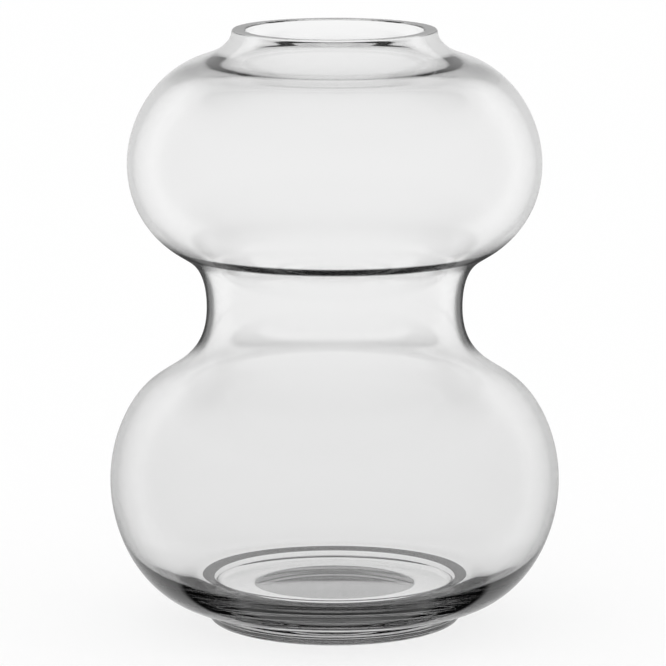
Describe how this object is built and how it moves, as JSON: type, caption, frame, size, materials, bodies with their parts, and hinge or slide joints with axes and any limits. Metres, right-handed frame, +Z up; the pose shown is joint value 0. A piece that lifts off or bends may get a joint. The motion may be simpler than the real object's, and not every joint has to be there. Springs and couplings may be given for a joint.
{
  "type": "double gourd vase",
  "caption": "Clear blown-glass vase with two round bulbs joined by a narrow waist, a short open collar and a thick round foot.",
  "frame": {"origin": "centre of the ring that the foot stands on", "axes": "+Z up along the vase's axis of revolution, towards the open rim; X and Y are level and interchangeable"},
  "size_m": [0.1656, 0.1656, 0.22],
  "materials": {
    "blown_glass": "clear, fire polished, rim cut flat and polished",
    "foot_glass": "clear, fire polished, with a ground and polished bowl underneath"
  },
  "bodies": {
    "root": {"vessel": "blown_glass", "foot": "foot_glass"}
  },
  "joints": []
}
